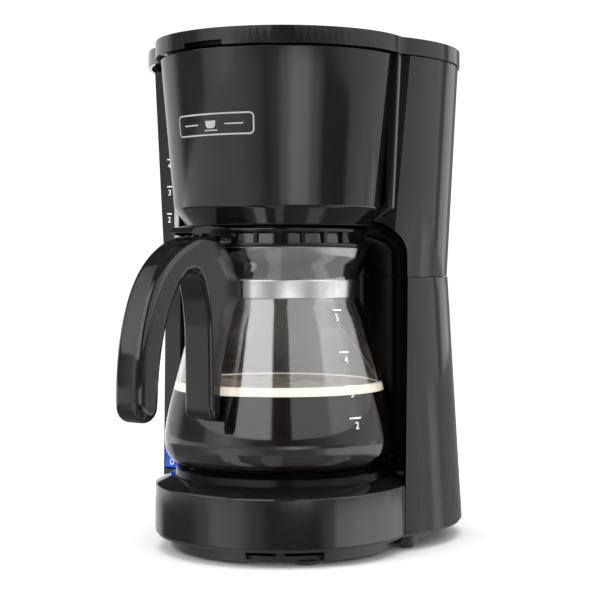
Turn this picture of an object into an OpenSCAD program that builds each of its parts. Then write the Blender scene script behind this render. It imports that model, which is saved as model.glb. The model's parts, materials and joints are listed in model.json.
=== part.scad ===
// Drip coffee maker with a glass carafe. Millimetres; +Z up, -Y is the machine's front,
// feet on z = 0, the plan's bounding box centred on the origin.

/* [Overall] */
// Half width of the lid's rear circle
lid_rear_r = 90.5; // [86:0.5:95]
// Flat back plane
back_y = 121; // [110:1:130]
// Top of the lid
top_z = 277.7; // [270:0.1:285]
// Wall thickness of the mouldings
wall = 2.4; // [1.8:0.1:3]

/* [Carafe axis] */
// Carafe and brew cone axis, right of centre
ax = 18; // [10:0.5:24]
// Carafe and brew cone axis, forward or back of centre
ay = 9; // [4:0.5:14]

/* [Base] */
// Base ring radius
ring_r = 70; // [66:0.5:74]
// Underside of the base ring
ring_z0 = 9.8; // [8:0.1:12]
// Top of the ring's straight side
ring_z1 = 35.9; // [32:0.1:40]
// Top of the ring's chamfer
ring_z2 = 40.3; // [38:0.1:44]
// Radius at the top of the chamfer
ring_top_r = 61; // [58:0.5:64]
// Base plate radius under the ring
plinth_r = 61.4; // [58:0.1:66]
// Foot height below the base plate
foot_h = 2; // [1:0.5:4]

/* [Rear housing] */
// Seam between lower column and upper housing
seam_z = 148.5; // [140:0.5:156]
// Rear housing radius at its foot
rear_r_low = 87; // [82:0.5:90]
// Rear housing radius at the seam
rear_r_mid = 82; // [78:0.5:84]
// Rear housing radius under the lid
rear_r_top = 88.4; // [84:0.5:90]
// Top rim of the housing
rim_z = 268.2; // [262:0.1:270]
// Flat front face of the left wing
wing_y = 4; // [0:0.5:10]

/* [Brew cone] */
// Cone radius under the lid
cone_r_top = 67; // [64:0.5:70]
// Cone radius at its lower edge
cone_r_low = 59.6; // [56:0.1:63]
// Lower edge of the cone
cone_z = 185.5; // [180:0.5:190]
// Underside of the funnel
funnel_z = 176.5; // [172:0.5:180]
// Radius of the funnel's flat underside
funnel_r = 52; // [48:0.5:56]

/* [Carafe] */
// How far the carafe stands forward of the cone's axis
carafe_fwd = 3; // [0:0.5:6]
// Underside of the glass
glass_z0 = 45; // [44:0.5:48]
// Largest glass radius
glass_r = 63.4; // [60:0.1:65]
// Neck radius under the steel band
neck_r = 44; // [40:0.5:46]
// Rim radius
glass_rim_r = 50.6; // [46:0.1:52]
// Rim height
glass_rim_z = 164.6; // [160:0.1:168]
// Glass thickness
glass_t = 2; // [1.5:0.1:3]

/* [Handle] */
// Handle width
grip_w = 18; // [14:0.5:22]
// Reach of the outer grip from the carafe's axis
grip_reach = 127; // [122:0.5:128]

/* [Hidden] */
$fn = 96;
eps = 0.01;
alcove_r = 70;
dome_r = 18;             // fillet between the alcove wall and its ceiling
ceil_z = 179;
plate_z = foot_h;        // underside of the base plate
lid_z0 = 268.6;
hinge_y = 116;
hinge_z = 272.5;
heater_z = 31;
leg_x = 38;              // heater legs either side of the axis
hose_y = 93;             // upright hoses behind the alcove
cold_x = ax - leg_x;
hot_x = ax + leg_x;
tank_floor = 152;

module at_axis(z = 0) { translate([ax, ay, z]) children(); }
module at_carafe(z = 0) { translate([ax, ay - carafe_fwd, z]) children(); }
// sector about the carafe axis; angles from the front (-Y) towards the right (+X)
module sector(a0, a1) { rotate([0, 0, a0 - 90]) rotate_extrude(angle = a1 - a0) children(); }
// a point at radius r and angle a from the front, about the carafe axis
function pol(r, a) = [ax + r * sin(a), ay - r * cos(a)];
function arc(cx, cy, r, a0, a1, n) = [for (i = [0:n]) let(a = a0 + (a1 - a0) * i / n)
  [cx + r * cos(a), cy + r * sin(a)]];

// ------------------------------------------------------------- rear housing envelopes
// tilted cone of the lower column, o inwards
module low_cone(o, z0, z1) {
  p0 = [2.4, 59, 9.8]; p1 = [1.4, 54.5, seam_z];
  dv = p1 - p0; len = norm(dv);
  tx = atan2(-dv[1], dv[2]); ty = atan2(dv[0], dv[2]);
  slope = (rear_r_mid - rear_r_low) / len; e = 8;
  intersection() {
    translate(p0) rotate([tx, ty, 0]) translate([0, 0, -e])
      cylinder(r1 = rear_r_low - o - slope * e, r2 = rear_r_mid - o + slope * e, h = len + 2 * e, $fn = 180);
    translate([-120, -120, z0]) cube([240, back_y - o + 120, z1 - z0]);
  }
}
module top_cone(o, z0, z1) {
  slope = (rear_r_top - rear_r_mid) / (lid_z0 - seam_z);
  r0 = rear_r_mid + slope * (z0 - seam_z) - o; r1 = rear_r_mid + slope * (z1 - seam_z) - o;
  intersection() {
    translate([1.15, 54.25, z0]) cylinder(r1 = r0, r2 = r1, h = z1 - z0, $fn = 180);
    translate([-120, -120, z0]) cube([240, back_y - o + 120, z1 - z0]);
  }
}
// everything behind the front faces: flat on the left, turned to the front right on the right
module behind(o, z0, z1) {
  translate([0, 0, z0]) linear_extrude(z1 - z0)
    polygon([[-120, wing_y + o], [48.5 - o, wing_y + o], [72.5 - o, 22 + o], [120 - o, 57.6 + o], [120, 140], [-120, 140]]);
}
// the carafe's alcove: a cylinder with a domed top, o outwards
module alcove(o, z0) {
  at_axis() rotate_extrude($fn = 180) polygon(concat([[0, z0], [alcove_r + o, z0], [alcove_r + o, ceil_z - dome_r]],
    arc(alcove_r - dome_r, ceil_z - dome_r, dome_r + o, 6, 90, 14), [[0, ceil_z + o]]));
}

// ------------------------------------------------------------- base
module base_outline(o) {
  intersection() {
    union() { translate([ax, ay]) circle(r = plinth_r - o, $fn = 180); translate([2.4, 59]) circle(r = rear_r_low - 15 - o, $fn = 180); }
    translate([-120, -120]) square([240, back_y - 8 - o + 120]);
  }
}
screw_at = [pol(54, -36), pol(54, 36), [-44, 98], [47, 98]];
module base_plate() color("black") difference() {
  union() {
    translate([0, 0, plate_z]) linear_extrude(7.6) base_outline(0);
    // boss for the right-hand foot
    translate([76, 46, plate_z]) cylinder(r = 6, h = 7.6);
    // flange the shells stand on
    translate([0, 0, 8.2]) linear_extrude(1.4) intersection() {
      union() { translate([ax, ay]) circle(r = 68.6, $fn = 180); translate([2.4, 59]) circle(r = rear_r_low - 1.2, $fn = 180); }
      translate([-120, -120]) square([240, back_y - 1.2 + 120]);
    }
  }
  translate([0, 0, plate_z + 2.4]) linear_extrude(8) base_outline(2.4);
  for (i = [-3:3]) translate([ax + i * 9 - 2, ay - 30, plate_z - 1]) cube([4, 40, 5]);
  for (i = [-2:2]) translate([i * 12 - 2, 70, plate_z - 1]) cube([4, 26, 5]);
  for (p = screw_at) translate([p[0], p[1], plate_z - 1]) cylinder(r = 1.8, h = 6);
  // air slot in the plinth's front wall
  at_axis(plate_z - 1) sector(19, 58) translate([plinth_r - 5, 0]) square([8, 6.6]);
}
module base_screws() color("silver") for (p = screw_at) translate([p[0], p[1], plate_z + 2.4]) {
  difference() { cylinder(r = 3, h = 1.8); translate([-2, -0.4, 1.2]) cube([4, 0.8, 1]); translate([-0.4, -2, 1.2]) cube([0.8, 4, 1]); }
  translate([0, 0, -2.2]) cylinder(r = 1.5, h = 2.4);
}
module foot(x, y, r) color("dimgray") translate([x, y, 0]) union() {
  cylinder(r1 = r - 0.6, r2 = r, h = 0.6); translate([0, 0, 0.6]) cylinder(r = r, h = foot_h - 0.6);
}
module foot_front_left() foot(pol(56, -50)[0] + 2, pol(56, -50)[1] + 2, 7);
module foot_front_right() foot(pol(56, 50)[0] - 2, pol(56, 50)[1] + 2, 7);
module foot_rear_left() foot(-50, 100, 7);
module foot_rear_right() foot(52, 100, 7);
module foot_side_left() foot(-64, 60, 4.5);
module foot_side_right() foot(76, 46, 4.2);

module base_shell() color("black") difference() {
  at_axis() rotate_extrude($fn = 180) polygon([[ring_r - wall, ring_z0], [ring_r, ring_z0], [ring_r, ring_z1],
    [ring_top_r, ring_z2], [52.9, ring_z2], [52.9, ring_z2 - wall], [ring_top_r - 1, ring_z2 - wall], [ring_r - wall, ring_z1 - 1.2]]);
  translate([cold_x - 8, 40, heater_z - 9]) cube([2 * leg_x + 16, 50, 14]);
}
module lower_column() color("black") difference() {
  intersection() { low_cone(0, ring_z0, seam_z - 0.2); behind(0, ring_z0, seam_z - 0.2); }
  difference() {
    intersection() { low_cone(wall, ring_z0 - 1, seam_z); behind(wall, ring_z0 - 1, seam_z); }
    at_axis() cylinder(r = alcove_r + wall, h = 200, $fn = 180);
  }
  at_axis() cylinder(r = ring_r + 0.2, h = 200, $fn = 180);
  translate([cold_x - 8, 60, heater_z - 10.2]) cube([2 * leg_x + 16, 26, 19]);
  // switch pocket and rocker pin holes
  translate([-63, wing_y - 1, 36.6]) cube([10, 11, 14.8]);
  translate([-63.4, wing_y + 4.6, 44]) rotate([0, 90, 0]) cylinder(r = 0.8, h = 10.8);
  // cord inlet in the back
  translate([40, back_y - 6, 24]) rotate([-90, 0, 0]) cylinder(r = 6, h = 10);
  for (i = [0:6]) translate([-36 + i * 9, back_y - 6, 60]) cube([3, 10, 34]);
}

// ------------------------------------------------------------- upper housing and water path
win_x = -55.2; win_w = 3.8; win_z0 = 160; win_h = 92;
module upper_housing() color("black") difference() {
  intersection() { top_cone(0, seam_z + 0.2, rim_z); behind(0, seam_z + 0.2, rim_z); }
  // tank
  difference() {
    intersection() { top_cone(wall, tank_floor + wall, rim_z + 1); behind(wall, tank_floor + wall, rim_z + 1); }
    at_axis() cylinder(r = 63, h = 300, $fn = 180);
    at_axis() sector(-90.2, 106.2) square([alcove_r + wall + 0.3, 300]);
    alcove(wall, 100);
    translate([-90, hinge_y - 5, rim_z - 4]) cube([180, 20, 20]);
  }
  // hollow under the tank floor
  difference() {
    intersection() { top_cone(wall, seam_z - 1, tank_floor); behind(wall, seam_z - 1, tank_floor); }
    at_axis() cylinder(r = alcove_r + wall, h = 300, $fn = 180);
  }
  alcove(0, 100);
  // brew well
  at_axis(ceil_z + wall) cylinder(r = 60.6, h = 100, $fn = 180);
  // room for the trims and the cone's ends
  at_axis(100) sector(-88, 104) square([alcove_r + 0.3, 200]);
  at_axis(funnel_z - 1) cylinder(r = 17, h = 10);
  // window slot in the left wing
  translate([win_x - win_w / 2, wing_y - 1, win_z0]) cube([win_w, 6, win_h]);
  // tank outlet, riser passage, spout notch
  translate([cold_x, hose_y, 140]) cylinder(r = 3.4, h = 30);
  translate([hot_x, hose_y, 140]) cylinder(r = 5.3, h = 30);
  translate([hot_x, hose_y, 262]) rotate([0, 0, atan2(ay - hose_y, ax - hot_x)]) translate([0, -5, 0]) cube([50, 10, 30]);
}
// ears that stand on the rear deck and carry the hinge pins
module ear(x) translate([x, 0, 0]) difference() {
  union() {
    translate([0, hinge_y - 3.4, rim_z - 1]) cube([5, 6.8, hinge_z - rim_z + 1]);
    translate([0, hinge_y, hinge_z]) rotate([0, 90, 0]) cylinder(r = 3.4, h = 5);
  }
  translate([-1, hinge_y, hinge_z]) rotate([0, 90, 0]) cylinder(r = 1.56, h = 7);
}
module housing_with_ears() color("black") union() {
  upper_housing();
  for (x = [-36.4, -23.8, 18.8, 31.4]) ear(x);
}
module water_window() color("lightgray", 0.5) union() {
  translate([win_x - win_w / 2 + 0.05, wing_y + 0.4, win_z0 + 0.05]) cube([win_w - 0.1, 1.9, win_h - 0.1]);
}
module brew_cone() color("black") at_axis() sector(-83, 99.4) polygon([[cone_r_low, cone_z], [cone_r_top, rim_z],
  [cone_r_top - wall, rim_z], [cone_r_low - wall, cone_z + 0.8], [funnel_r + 0.1, funnel_z + 2.5], [funnel_r + 0.1, funnel_z], [funnel_r + 0.4, funnel_z]]);
module trim_profile() polygon([[66, cone_z], [70, rim_z], [63.6, rim_z], [62, cone_z + 4], [54.4, ceil_z + 1.5], [56, ceil_z - 0.4]]);
module side_trim_left() color("black") at_axis() sector(-87, -83.2) trim_profile();
module side_trim_right() color("black") at_axis() sector(99.6, 103.6) trim_profile();
module funnel_plate() color("black") at_axis() difference() {
  union() {
    translate([0, 0, funnel_z]) cylinder(r = funnel_r, h = ceil_z - funnel_z, $fn = 180);
    translate([0, 0, funnel_z - 1.2]) cylinder(r = 16, h = 1.4);
    translate([0, 0, funnel_z]) cylinder(r = 8, h = 4.5);
  }
  translate([0, 0, funnel_z - 3]) cylinder(r = 4.95, h = 20);
}
module brew_basket() color("dimgray") at_axis() difference() {
  union() {
  for (i = [0:3]) rotate([0, 0, i * 90 + 45]) translate([32, 0, ceil_z + (i < 2 ? wall : 0) + 0.1]) cylinder(r = 2.2, h = i < 2 ? 11.6 : 14);
  rotate_extrude($fn = 180) polygon([[6, 190], [46, 193], [55.4, 262], [57, 262], [57, 264], [53.4, 264], [44.4, 194.8], [6, 192.2], [4, 192.2], [4, 186.6], [6, 186.6]]);
  }
  for (i = [0:11]) rotate([0, 0, i * 30]) translate([46, -2, 205]) cube([20, 4, 44]);
}
module basket_handle() color("dimgray") at_axis() union() {
  for (s = [-1, 1]) translate([s * 51 - 0.8, -4, 256]) cube([1.6, 8, 8.6]);
  translate([-53.5, -4, 264.1]) cube([107, 8, 1.7]);
}
module filter_mesh() color("goldenrod") at_axis() rotate_extrude($fn = 180)
  polygon([[0, 193.3], [30, 194.6], [43.2, 196], [50.6, 252], [51.5, 252], [51.5, 253], [49.8, 253], [42.2, 197.2], [30, 195.8], [0, 194.5]]);
module drip_stop_stem() color("black") at_axis() difference() {
  union() { translate([0, 0, 175.3]) cylinder(r = 4.88, h = 8); translate([0, 0, 181.2]) cylinder(r = 9, h = 1.6); translate([0, 0, 182.8]) cylinder(r = 2.6, h = 5); }
  translate([-1.2, -8, 174]) cube([2.4, 16, 4]);
}
module drip_stop_spring() color("silver") at_axis() union() {
  for (i = [0:3]) translate([0, 0, 183.4 + i * 1.9]) rotate_extrude() translate([7.4, 0]) circle(r = 0.5, $fn = 24);
  for (i = [0:2]) rotate([0, 0, i * 90]) translate([7.1, -0.35, 183.4 + i * 1.9]) cube([0.6, 0.7, 1.9]);
}

// ------------------------------------------------------------- heater and water path
module warming_plate() color("dimgray") at_axis() rotate_extrude($fn = 180)
  polygon([[0, 43.6], [30, 43.6], [50.6, 43.6], [51.6, 42.4], [51.6, 37], [52.4, 37], [52.4, 43.4], [51.2, 44.8], [0, 44.8]]);
module warming_ring() color("black") at_axis() rotate_extrude($fn = 180)
  polygon([[52.7, ring_z2 + 0.05], [59, ring_z2 + 0.05], [58.4, 43.8], [57.6, 44.6], [52.7, 44.6]]);
module tube_bend(r, t, a) rotate_extrude(angle = a) translate([r, 0]) circle(r = t, $fn = 48);
module heater_tube() color("silver") translate([ax, ay, heater_z]) difference() {
  union() {
    rotate([0, 0, 180]) tube_bend(leg_x, 4.8, 180);
    for (s = [-1, 1]) translate([s * leg_x, -0.5, 0]) rotate([-90, 0, 0]) cylinder(r = 5, h = hose_y - ay - 12.4);
    translate([-38, -33, 4.6]) cube([76, 33, 2]);
  }
  rotate([0, 0, 180]) tube_bend(leg_x, 3, 180);
  for (s = [-1, 1]) translate([s * leg_x, -0.3, 0]) rotate([-90, 0, 0]) cylinder(r = 3.2, h = hose_y - ay - 10);
}
module heater_clamp() color("silver") translate([ax, ay, 0]) difference() {
  union() { translate([-6, -45, 38]) cube([12, 40, 5.5]); translate([-3, -24, 37.65]) cube([6, 6, 1]); }
  translate([0, -14, 36]) cylinder(r = 1.6, h = 10);
}
module thermostat() color("tan") translate([ax, ay + 14, 34]) union() {
  cylinder(r = 8, h = 5); translate([0, 0, 5]) cylinder(r = 9.5, h = 4.5);
  for (s = [-1, 1]) translate([s * 5 - 1, -3, -4]) cube([2, 0.8, 4]);
}
module thermal_fuse() color("silver") translate([ax - 14, ay + 30, 34]) rotate([0, 90, 0]) union() {
  cylinder(r = 2, h = 14); translate([0, 0, -8]) cylinder(r = 0.5, h = 8.2); translate([0, 0, 13.8]) cylinder(r = 0.5, h = 8.2);
}
module elbow_hose(x, ztop) translate([x, 0, 0]) {
  difference() {
    union() {
      translate([0, hose_y - 11, heater_z]) rotate([90, 0, 0]) cylinder(r = 6.4, h = 9.4);
      translate([0, hose_y - 12, heater_z + 12]) rotate([90, 0, 90]) rotate([0, 0, -90]) tube_bend(12, 4.8, 90);
      translate([0, hose_y, heater_z + 11.5]) cylinder(r = 5, h = ztop - heater_z - 11.5);
    }
    translate([0, hose_y - 12.6, heater_z]) rotate([90, 0, 0]) cylinder(r = 5.05, h = 13);
    translate([0, hose_y - 11.8, heater_z]) rotate([90, 0, 0]) cylinder(r = 3.1, h = 1.2);
    translate([0, hose_y - 12, heater_z + 12]) rotate([90, 0, 90]) rotate([0, 0, -90]) tube_bend(12, 3, 90);
    translate([0, hose_y, heater_z + 11.7]) cylinder(r = 3.2, h = ztop - heater_z);
  }
}
module cold_hose() color("white") elbow_hose(cold_x, 136);
module hot_riser() color("white") elbow_hose(hot_x, 250);
// stands on the riser and reaches over the basket's rim, under the lid's liner
module hot_spout() color("gray") translate([hot_x, hose_y, 250.2]) rotate([0, 0, atan2(ay - hose_y, ax - hot_x)]) difference() {
  union() { cylinder(r = 5, h = 14.6); translate([-4.2, -4.2, 14.5]) cube([66.4, 8.4, 5.3]); }
  translate([0, 0, -1]) cylinder(r = 3.2, h = 17.8);
  translate([-2.6, -2.6, 16.2]) cube([70, 5.2, 2]);
  translate([58, 0, 13]) cylinder(r = 2, h = 4);
}
module hose_clip(x) color("silver") translate([x, hose_y - 15, heater_z]) rotate([90, 0, 0]) difference() {
  union() { cylinder(r = 7.4, h = 5); translate([-1.5, -9.8, 0]) cube([3, 3, 5]); }
  translate([0, 0, -1]) cylinder(r = 6.42, h = 7);
}
module hose_clip_cold() hose_clip(cold_x);
module hose_clip_hot() hose_clip(hot_x);
module valve_body() color("white") translate([cold_x, hose_y, 136.2]) difference() {
  union() { cylinder(r = 6, h = 15.6); translate([0, 0, 13.6]) cylinder(r = 3.35, h = 5); translate([0, 0, 0]) cylinder(r = 7, h = 1.5); }
  translate([0, 0, -1]) cylinder(r = 2.2, h = 30);
  translate([0, 0, 2]) cylinder(r = 3.7, h = 9);
}
module valve_ball() color("silver") translate([cold_x, hose_y, 136.2 + 2 + sqrt(3.2 * 3.2 - 2.2 * 2.2) + 0.02]) sphere(r = 3.2);
module tank_strainer() color("white") translate([cold_x, hose_y, tank_floor + wall + 0.6]) difference() {
  union() { cylinder(r = 9, h = 1.2); cylinder(r = 7, h = 8); }
  translate([0, 0, -1]) cylinder(r = 5.8, h = 8);
  for (i = [0:7]) rotate([0, 0, i * 45]) translate([4, -0.7, 2]) cube([6, 1.4, 4.4]);
}

// ------------------------------------------------------------- switch and wiring
pin_y = wing_y + 4.6;
module switch_body() color("dimgray") difference() {
  union() {
    translate([-62.8, 15.2, 36.8]) cube([8.4, 10, 14.4]);
    for (z = [40, 44, 48]) translate([-60, 25, z]) cube([3, 6, 0.8]);
  }
}
module switch_rocker() color("royalblue") translate([-62.7, pin_y, 44]) difference() {
  rotate([0, 0, 0]) translate([0, 0, 0]) rotate([6, 0, 0]) rotate([90, 0, 90]) linear_extrude(9.4)
    polygon([[-6.4, -5.7], [-5.0, 0], [-6.4, 5.7], [2.2, 4.2], [4.4, 0], [2.2, -4.2]]);
  translate([-1, 0, 0]) rotate([0, 90, 0]) cylinder(r = 0.86, h = 12);
}
module rocker_pin() color("silver") translate([-63.3, pin_y, 44]) rotate([0, 90, 0]) cylinder(r = 0.78, h = 10.6, $fn = 32);
module cord_gland() color("black") translate([40, back_y - 3.6, 24]) rotate([-90, 0, 0]) difference() {
  union() { cylinder(r = 5.96, h = 3.6); translate([0, 0, -2]) cylinder(r = 7.4, h = 3); }
  translate([0, 0, -3]) cylinder(r = 3.3, h = 8);
}
module power_leads() color("firebrick") union() {
  translate([-58, 33, 44]) cube([1.6, 50, 1.6]);
  translate([-58, 83, 44]) cube([1.6, 22, 1.6]);
  translate([-58, 105, 44]) cube([96, 1.6, 1.6]);
  translate([37, 105, 24]) cube([1.6, 1.6, 21.6]);
}

// ------------------------------------------------------------- lid
module lid_outline(o) difference() {
  union() { translate([ax, ay]) circle(r = 70 - o, $fn = 180); translate([0, 54]) circle(r = lid_rear_r - o, $fn = 180); }
  translate([-120, hinge_y - 4 - o]) square([240, 100]);
}
module lid_cover() color("black") difference() {
  union() {
    translate([0, 0, lid_z0]) linear_extrude(top_z - lid_z0) lid_outline(0);
    for (s = [-1, 1]) translate([s * 27.6 - 3.5, 0, 0]) {
      translate([0, hinge_y - 6, lid_z0 + 0.7]) cube([7, 6, top_z - lid_z0 - 2]);
      translate([0, hinge_y, hinge_z]) rotate([0, 90, 0]) cylinder(r = 3.2, h = 7);
    }
  }
  difference() {
    translate([0, 0, lid_z0 - 1]) linear_extrude(top_z - lid_z0 - 1.6) lid_outline(2.2);
    for (s = [-1, 1]) translate([s * 27.6 - 3.5, hinge_y - 7, lid_z0]) cube([7, 7, 12]);
  }
  for (s = [-1, 1]) translate([s * 27.6 - 12, hinge_y, hinge_z]) rotate([0, 90, 0]) cylinder(r = 1.5, h = 24);
  // finger notch in the front of the skirt
  at_axis(lid_z0 - 1) sector(-10.5, 10.5) translate([60, 0]) square([20, 3.6]);
}
module lid_liner() color("dimgray") at_axis() difference() {
  union() {
    translate([0, 0, 270.6]) cylinder(r = 60, h = 1.8, $fn = 180);
    for (i = [0:5]) rotate([0, 0, i * 60]) translate([50, 0, 272.4]) cylinder(r = 2.5, h = 2.65);
  }
  translate([0, 0, 270]) cylinder(r = 24, h = 3);
}
module shower_plate() color("gray") at_axis() difference() {
  union() {
    translate([0, 0, 267.6]) cylinder(r = 23.6, h = 1.6);
    translate([0, 0, 267.6]) difference() { cylinder(r = 23.6, h = 7.4); translate([0, 0, -1]) cylinder(r = 21.8, h = 10); }
  }
  for (i = [0:7]) rotate([0, 0, i * 45 + 20]) translate([14, 0, 266]) cylinder(r = 1.5, h = 5);
  cylinder(r = 1.5, h = 270);
}
module hinge_pin(x) color("silver") translate([x, hinge_y, hinge_z]) rotate([0, 90, 0]) cylinder(r = 1.48, h = 16);
module hinge_pin_left() hinge_pin(-35.6);
module hinge_pin_right() hinge_pin(19.6);

// ------------------------------------------------------------- carafe
module glass_profile(o) polygon(concat([[0, glass_z0 + o]], [[50 - o, glass_z0 + o]],
  arc(glass_r - 13, glass_z0 + 13.6, 13 - o, -76, 10, 10),
  [[61.4 - o, 73], [57 - o, 91], [52.4 - o, 109], [48.4 - o, 126], [46 - o, 134], [neck_r - o, 137.5], [neck_r - o, 147.3],
   [46 - o, 152], [48.8 - o, 158], [glass_rim_r - o, glass_rim_z + (o > 0 ? 1 : 0)], [0, glass_rim_z + (o > 0 ? 1 : 0)]]));
module carafe_glass() color("lightblue", 0.35) at_carafe() rotate_extrude($fn = 180) difference() { glass_profile(0); glass_profile(glass_t); }
module carafe_band() color("silver") at_carafe() rotate_extrude($fn = 180)
  polygon([[neck_r + 0.05, 137.6], [neck_r + 0.85, 137.6], [neck_r + 0.85, 147.2], [neck_r + 0.05, 147.2]]);
// side view of the handle: out from the band, over the top and down to a free grip, with an inner leg
module handle_side() polygon(concat(
  [[neck_r + 1, 138], [neck_r + 1, 146.8], [50, 149.5], [53, 158], [57, 164.5]],
  [[63, 168], [72, 168.8], [82, 167.2], [92, 162.6], [102, 155], [110, 146], [117, 134.5], [122, 122], [125.4, 109], [grip_reach, 96], [grip_reach, 86]],
  arc(grip_reach - 7.2, 85.6, 7.2, 0, -180, 12),
  [[112.4, 94], [110.8, 106], [107.4, 118], [102.6, 129], [96, 138.6], [88, 145.6], [80.6, 148.4], [76, 147], [74, 143], [73.4, 136], [73, 82]],
  arc(67.2, 81, 5.8, 4, -146, 10), [[61.6, 88], [58.6, 106], [54, 122], [50.6, 133]]));
module carafe_handle() color("black") at_carafe() rotate([0, 0, -90]) rotate([90, 0, 0]) translate([0, 0, -grip_w / 2]) difference() {
  linear_extrude(grip_w) handle_side();
  for (z = [-1, grip_w - 1.2]) translate([0, 0, z]) linear_extrude(2.2) polygon([[65, 90], [67.6, 90], [67.6, 140], [65, 140]]);
  translate([neck_r, 142.5, grip_w / 2]) rotate([0, 90, 0]) cylinder(r = 2.2, h = 7);
}
module handle_screw() color("silver") at_carafe() rotate([0, 0, -90]) translate([neck_r + 0.9, 0, 142.5]) rotate([0, 90, 0]) union() {
  cylinder(r = 1.6, h = 5.6);
  translate([0, 0, 0.15]) cylinder(r = 2.15, h = 1.2);
}
module carafe_lid() color("black") at_carafe() difference() {
  union() {
    translate([0, 0, glass_rim_z + 0.2]) cylinder(r = 50.2, h = 2, $fn = 180);
    translate([0, 0, glass_rim_z + 2.2]) cylinder(r1 = 47, r2 = 46, h = 6.2, $fn = 180);
    translate([0, 0, 172.7]) cylinder(r = 49, h = 2.1, $fn = 180);
    for (i = [0:23]) rotate([0, 0, i * 15 + 7.5]) translate([44, -1, 166]) cube([4.8, 2, 7]);
    // skirt inside the collar
    translate([0, 0, 162.6]) cylinder(r1 = 45.2, r2 = 46, h = 2.4, $fn = 180);
  }
  translate([0, 0, 158]) cylinder(r = 43.4, h = 13.4, $fn = 180);
  translate([0, 0, 150]) cylinder(r = 6.4, h = 40);
  translate([-8, -60, 167.5]) cube([16, 16, 10]);
}
module lid_lever() color("black") at_carafe() rotate([0, 0, -90]) rotate([90, 0, 0]) translate([0, 0, -7]) difference() {
  linear_extrude(14) polygon([[44.4, 168.4], [55, 169.4], [60, 170.6], [72, 171.4], [80, 170.4], [83, 171.8], [80, 174.4], [70, 175.8], [57, 175], [48, 173.8], [44.4, 172]]);
  translate([48.6, 171, -1]) cylinder(r = 1.05, h = 20);
}
module lever_pin() color("silver") at_carafe() rotate([0, 0, -90]) translate([48.6, 0, 171]) rotate([90, 0, 0]) translate([0, 0, -7.9]) cylinder(r = 1, h = 15.8);

base_plate();
base_screws();
foot_front_left();
foot_front_right();
foot_rear_left();
foot_rear_right();
foot_side_left();
foot_side_right();
base_shell();
lower_column();
housing_with_ears();  // upper_housing
water_window();
brew_cone();
side_trim_left();
side_trim_right();
funnel_plate();
brew_basket();
basket_handle();
filter_mesh();
drip_stop_stem();
drip_stop_spring();
warming_plate();
warming_ring();
heater_tube();
heater_clamp();
thermostat();
thermal_fuse();
cold_hose();
hot_riser();
hot_spout();
hose_clip_cold();
hose_clip_hot();
valve_body();
valve_ball();
tank_strainer();
switch_body();
switch_rocker();
rocker_pin();
cord_gland();
power_leads();
lid_cover();
lid_liner();
shower_plate();
hinge_pin_left();
hinge_pin_right();
carafe_glass();
carafe_band();
carafe_handle();
handle_screw();
carafe_lid();
lid_lever();
lever_pin();
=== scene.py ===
# %% [markdown]
# A compact drip coffee maker in gloss black plastic, with a glass carafe that is half full.
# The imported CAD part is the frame: every piece here is put where that frame says, in metres.

# %% Load the frame
import math
import json

import bpy
import bmesh
from mathutils import Matrix, Vector
from mathutils.bvhtree import BVHTree


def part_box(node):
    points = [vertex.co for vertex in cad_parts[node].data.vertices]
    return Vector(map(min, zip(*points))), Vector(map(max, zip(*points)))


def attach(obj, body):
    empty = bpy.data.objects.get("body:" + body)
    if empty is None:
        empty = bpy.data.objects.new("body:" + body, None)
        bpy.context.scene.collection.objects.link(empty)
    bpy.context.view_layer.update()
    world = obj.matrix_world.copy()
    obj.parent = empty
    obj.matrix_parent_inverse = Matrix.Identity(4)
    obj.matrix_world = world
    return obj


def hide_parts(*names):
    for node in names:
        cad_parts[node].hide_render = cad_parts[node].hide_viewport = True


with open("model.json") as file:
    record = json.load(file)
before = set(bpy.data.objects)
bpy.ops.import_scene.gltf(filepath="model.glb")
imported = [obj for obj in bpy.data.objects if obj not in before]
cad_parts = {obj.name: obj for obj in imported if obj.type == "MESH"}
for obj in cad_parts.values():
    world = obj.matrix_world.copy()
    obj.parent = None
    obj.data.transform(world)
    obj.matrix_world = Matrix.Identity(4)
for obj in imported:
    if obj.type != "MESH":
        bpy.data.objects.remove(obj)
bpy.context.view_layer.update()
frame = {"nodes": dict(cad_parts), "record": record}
nodes = frame["nodes"]
MM = 0.001


def middle(node):
    """Centre of a CAD node's box, in plan."""
    low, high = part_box(node)
    return Vector(((low.x + high.x) / 2, (low.y + high.y) / 2, 0.0))


cone_axis = middle("base_shell")
carafe_axis = middle("carafe_glass")
print("cone axis", tuple(round(v, 4) for v in cone_axis), "carafe axis", tuple(round(v, 4) for v in carafe_axis))

# %% [markdown]
# The camera stands to the front right, a little over half the machine's height above the worktop.
# A long lens keeps the tall housing upright; a small shift puts the object in the frame.

# %% Camera
VIEW_TURN = math.radians(37)
CAMERA_DISTANCE = 0.8563
CAMERA_HEIGHT = 0.1568
SENSOR_WIDTH, LENS_LENGTH = 36, 92.7
SHIFT_RIGHT, SHIFT_DOWN = 0.03, -0.063333
NEAR_LIMIT = 0.02
camera_data = bpy.data.cameras.new("camera")
camera_data.sensor_width = SENSOR_WIDTH
camera_data.lens = LENS_LENGTH
camera_data.clip_start = NEAR_LIMIT
camera_data.shift_x = SHIFT_RIGHT
camera_data.shift_y = SHIFT_DOWN
camera = bpy.data.objects.new("camera", camera_data)
bpy.context.scene.collection.objects.link(camera)
camera.location = (cone_axis.x + CAMERA_DISTANCE * math.sin(VIEW_TURN),
                   cone_axis.y - CAMERA_DISTANCE * math.cos(VIEW_TURN), CAMERA_HEIGHT)
camera.rotation_euler = (math.radians(90), 0, VIEW_TURN)
bpy.context.scene.camera = camera
print("camera", [round(v, 3) for v in camera.location], "lens", LENS_LENGTH)

# %% [markdown]
# Shaders are small networks of nodes. These helpers add one node each, so that a finish further
# down reads as a short list of steps. A node's values could be set by hand in the editor too; in
# code the same few lines serve every finish.

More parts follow.
